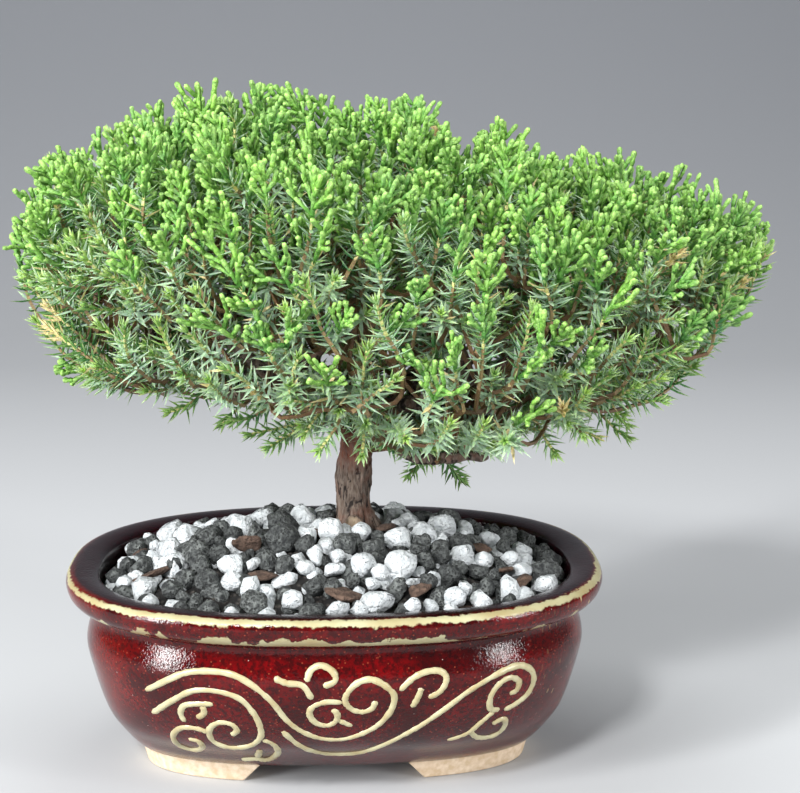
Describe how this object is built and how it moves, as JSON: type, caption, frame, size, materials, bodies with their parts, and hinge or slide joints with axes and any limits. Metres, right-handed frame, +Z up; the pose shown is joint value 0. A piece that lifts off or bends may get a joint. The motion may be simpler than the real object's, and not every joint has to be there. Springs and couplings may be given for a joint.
{
  "type": "bonsai tree in a pot",
  "caption": "Procumbens nana juniper bonsai with spreading needle sprays and light green tips on a short trunk, in gritty soil in an oval, footed, glazed pot.",
  "frame": {"origin": "on the surface that the feet stand on, under the middle of the whole tree's box", "axes": "+X along the pot's length to the right as seen from the front, +Y to the back, +Z up"},
  "size_m": [0.2832, 0.1722, 0.26],
  "materials": {
    "glaze": "glossy speckled oxblood glaze with cream slip on the rim and the wall, bare at the feet",
    "stones": "rough white pumice and dark grey lava",
    "bark": "rough flaking brown bark",
    "needles": "satin blue-green needles",
    "tips": "satin light green scaly tips"
  },
  "bodies": {
    "root": {"pot": "glaze", "soil": "stones", "trunk_and_branches": "bark", "needle_spray_01": "needles", "needle_spray_02": "needles", "needle_spray_03": "needles", "needle_spray_04": "needles", "needle_spray_05": "needles", "needle_spray_06": "needles", "needle_spray_07": "needles", "needle_spray_08": "needles", "needle_spray_09": "needles", "needle_spray_10": "needles", "needle_spray_11": "needles", "needle_spray_12": "needles", "needle_spray_13": "needles", "needle_spray_14": "needles", "needle_spray_15": "needles", "needle_spray_16": "needles", "needle_spray_17": "needles", "needle_spray_18": "needles", "needle_spray_19": "needles", "needle_spray_20": "needles", "needle_spray_21": "needles", "needle_spray_22": "needles", "needle_spray_23": "needles", "needle_spray_24": "needles", "needle_spray_25": "needles", "needle_spray_26": "needles", "needle_spray_27": "needles", "needle_spray_28": "needles", "needle_spray_29": "needles", "needle_spray_30": "needles", "needle_spray_31": "needles", "needle_spray_32": "needles", "needle_spray_33": "needles", "tip_fan_01": "tips", "tip_fan_02": "tips", "tip_fan_03": "tips", "tip_fan_04": "tips", "tip_fan_05": "tips", "tip_fan_06": "tips", "tip_fan_07": "tips", "tip_fan_08": "tips", "tip_fan_09": "tips", "tip_fan_10": "tips", "tip_fan_11": "tips", "tip_fan_12": "tips", "tip_fan_13": "tips", "tip_fan_14": "tips", "tip_fan_17": "tips", "tip_fan_18": "tips", "tip_fan_20": "tips", "tip_fan_23": "tips", "tip_fan_30": "tips", "tip_fan_31": "tips", "tip_fan_32": "tips", "tip_fan_33": "tips"}
  },
  "joints": []
}
